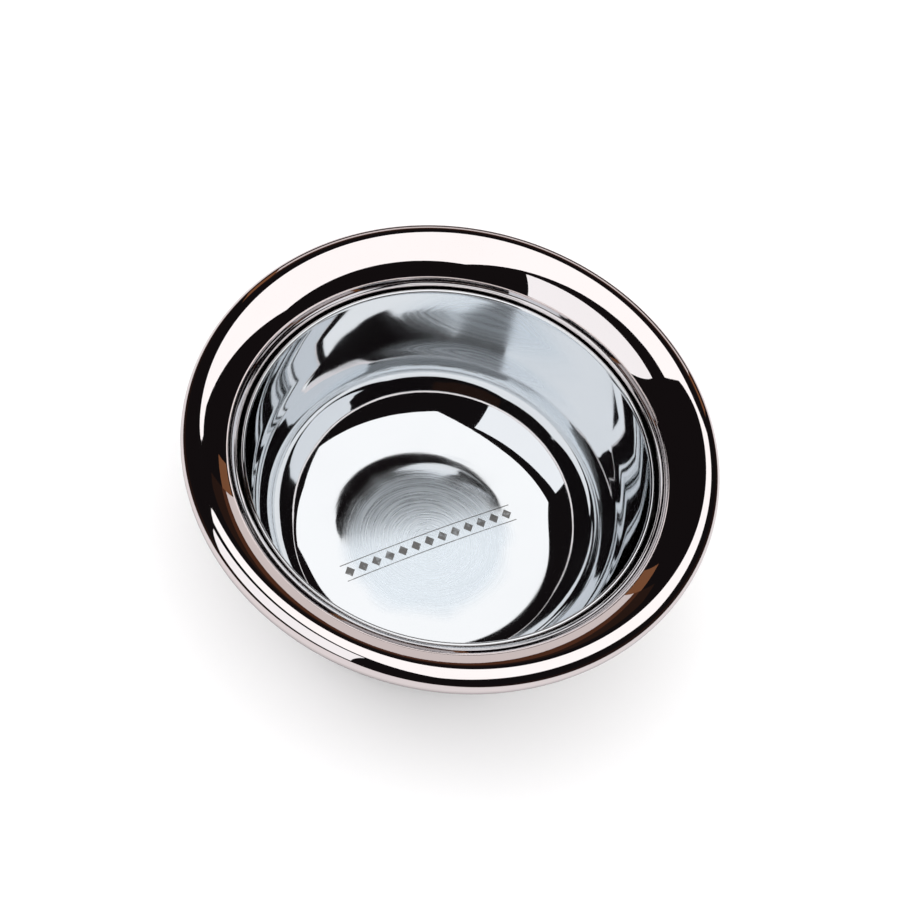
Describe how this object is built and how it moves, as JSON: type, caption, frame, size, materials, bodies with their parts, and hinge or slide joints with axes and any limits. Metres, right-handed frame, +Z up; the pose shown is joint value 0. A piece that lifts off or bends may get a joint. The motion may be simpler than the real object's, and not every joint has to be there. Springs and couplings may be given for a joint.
{
  "type": "shaving bowl",
  "caption": "Round double-walled metal lather bowl with a broad flared flange, a rolled rim and a deep flat-floored well.",
  "frame": {"origin": "middle of the underside, on the surface the bowl stands on", "axes": "+Z up along the bowl's axis; X and Y lie in the standing plane, and the bowl is the same all round"},
  "size_m": [0.12, 0.12, 0.0488],
  "materials": {
    "shell_chrome": "mirror polished plate, faintly warm",
    "bowl_steel": "mirror polished, faintly cool, with fine turning marks on the floor",
    "bonding_compound": "matte dark compound",
    "pad_rubber": "matte"
  },
  "bodies": {
    "root": {"outer_shell": "shell_chrome", "inner_bowl": "bowl_steel", "bond_bead": "bonding_compound", "base_pad": "pad_rubber"}
  },
  "joints": []
}
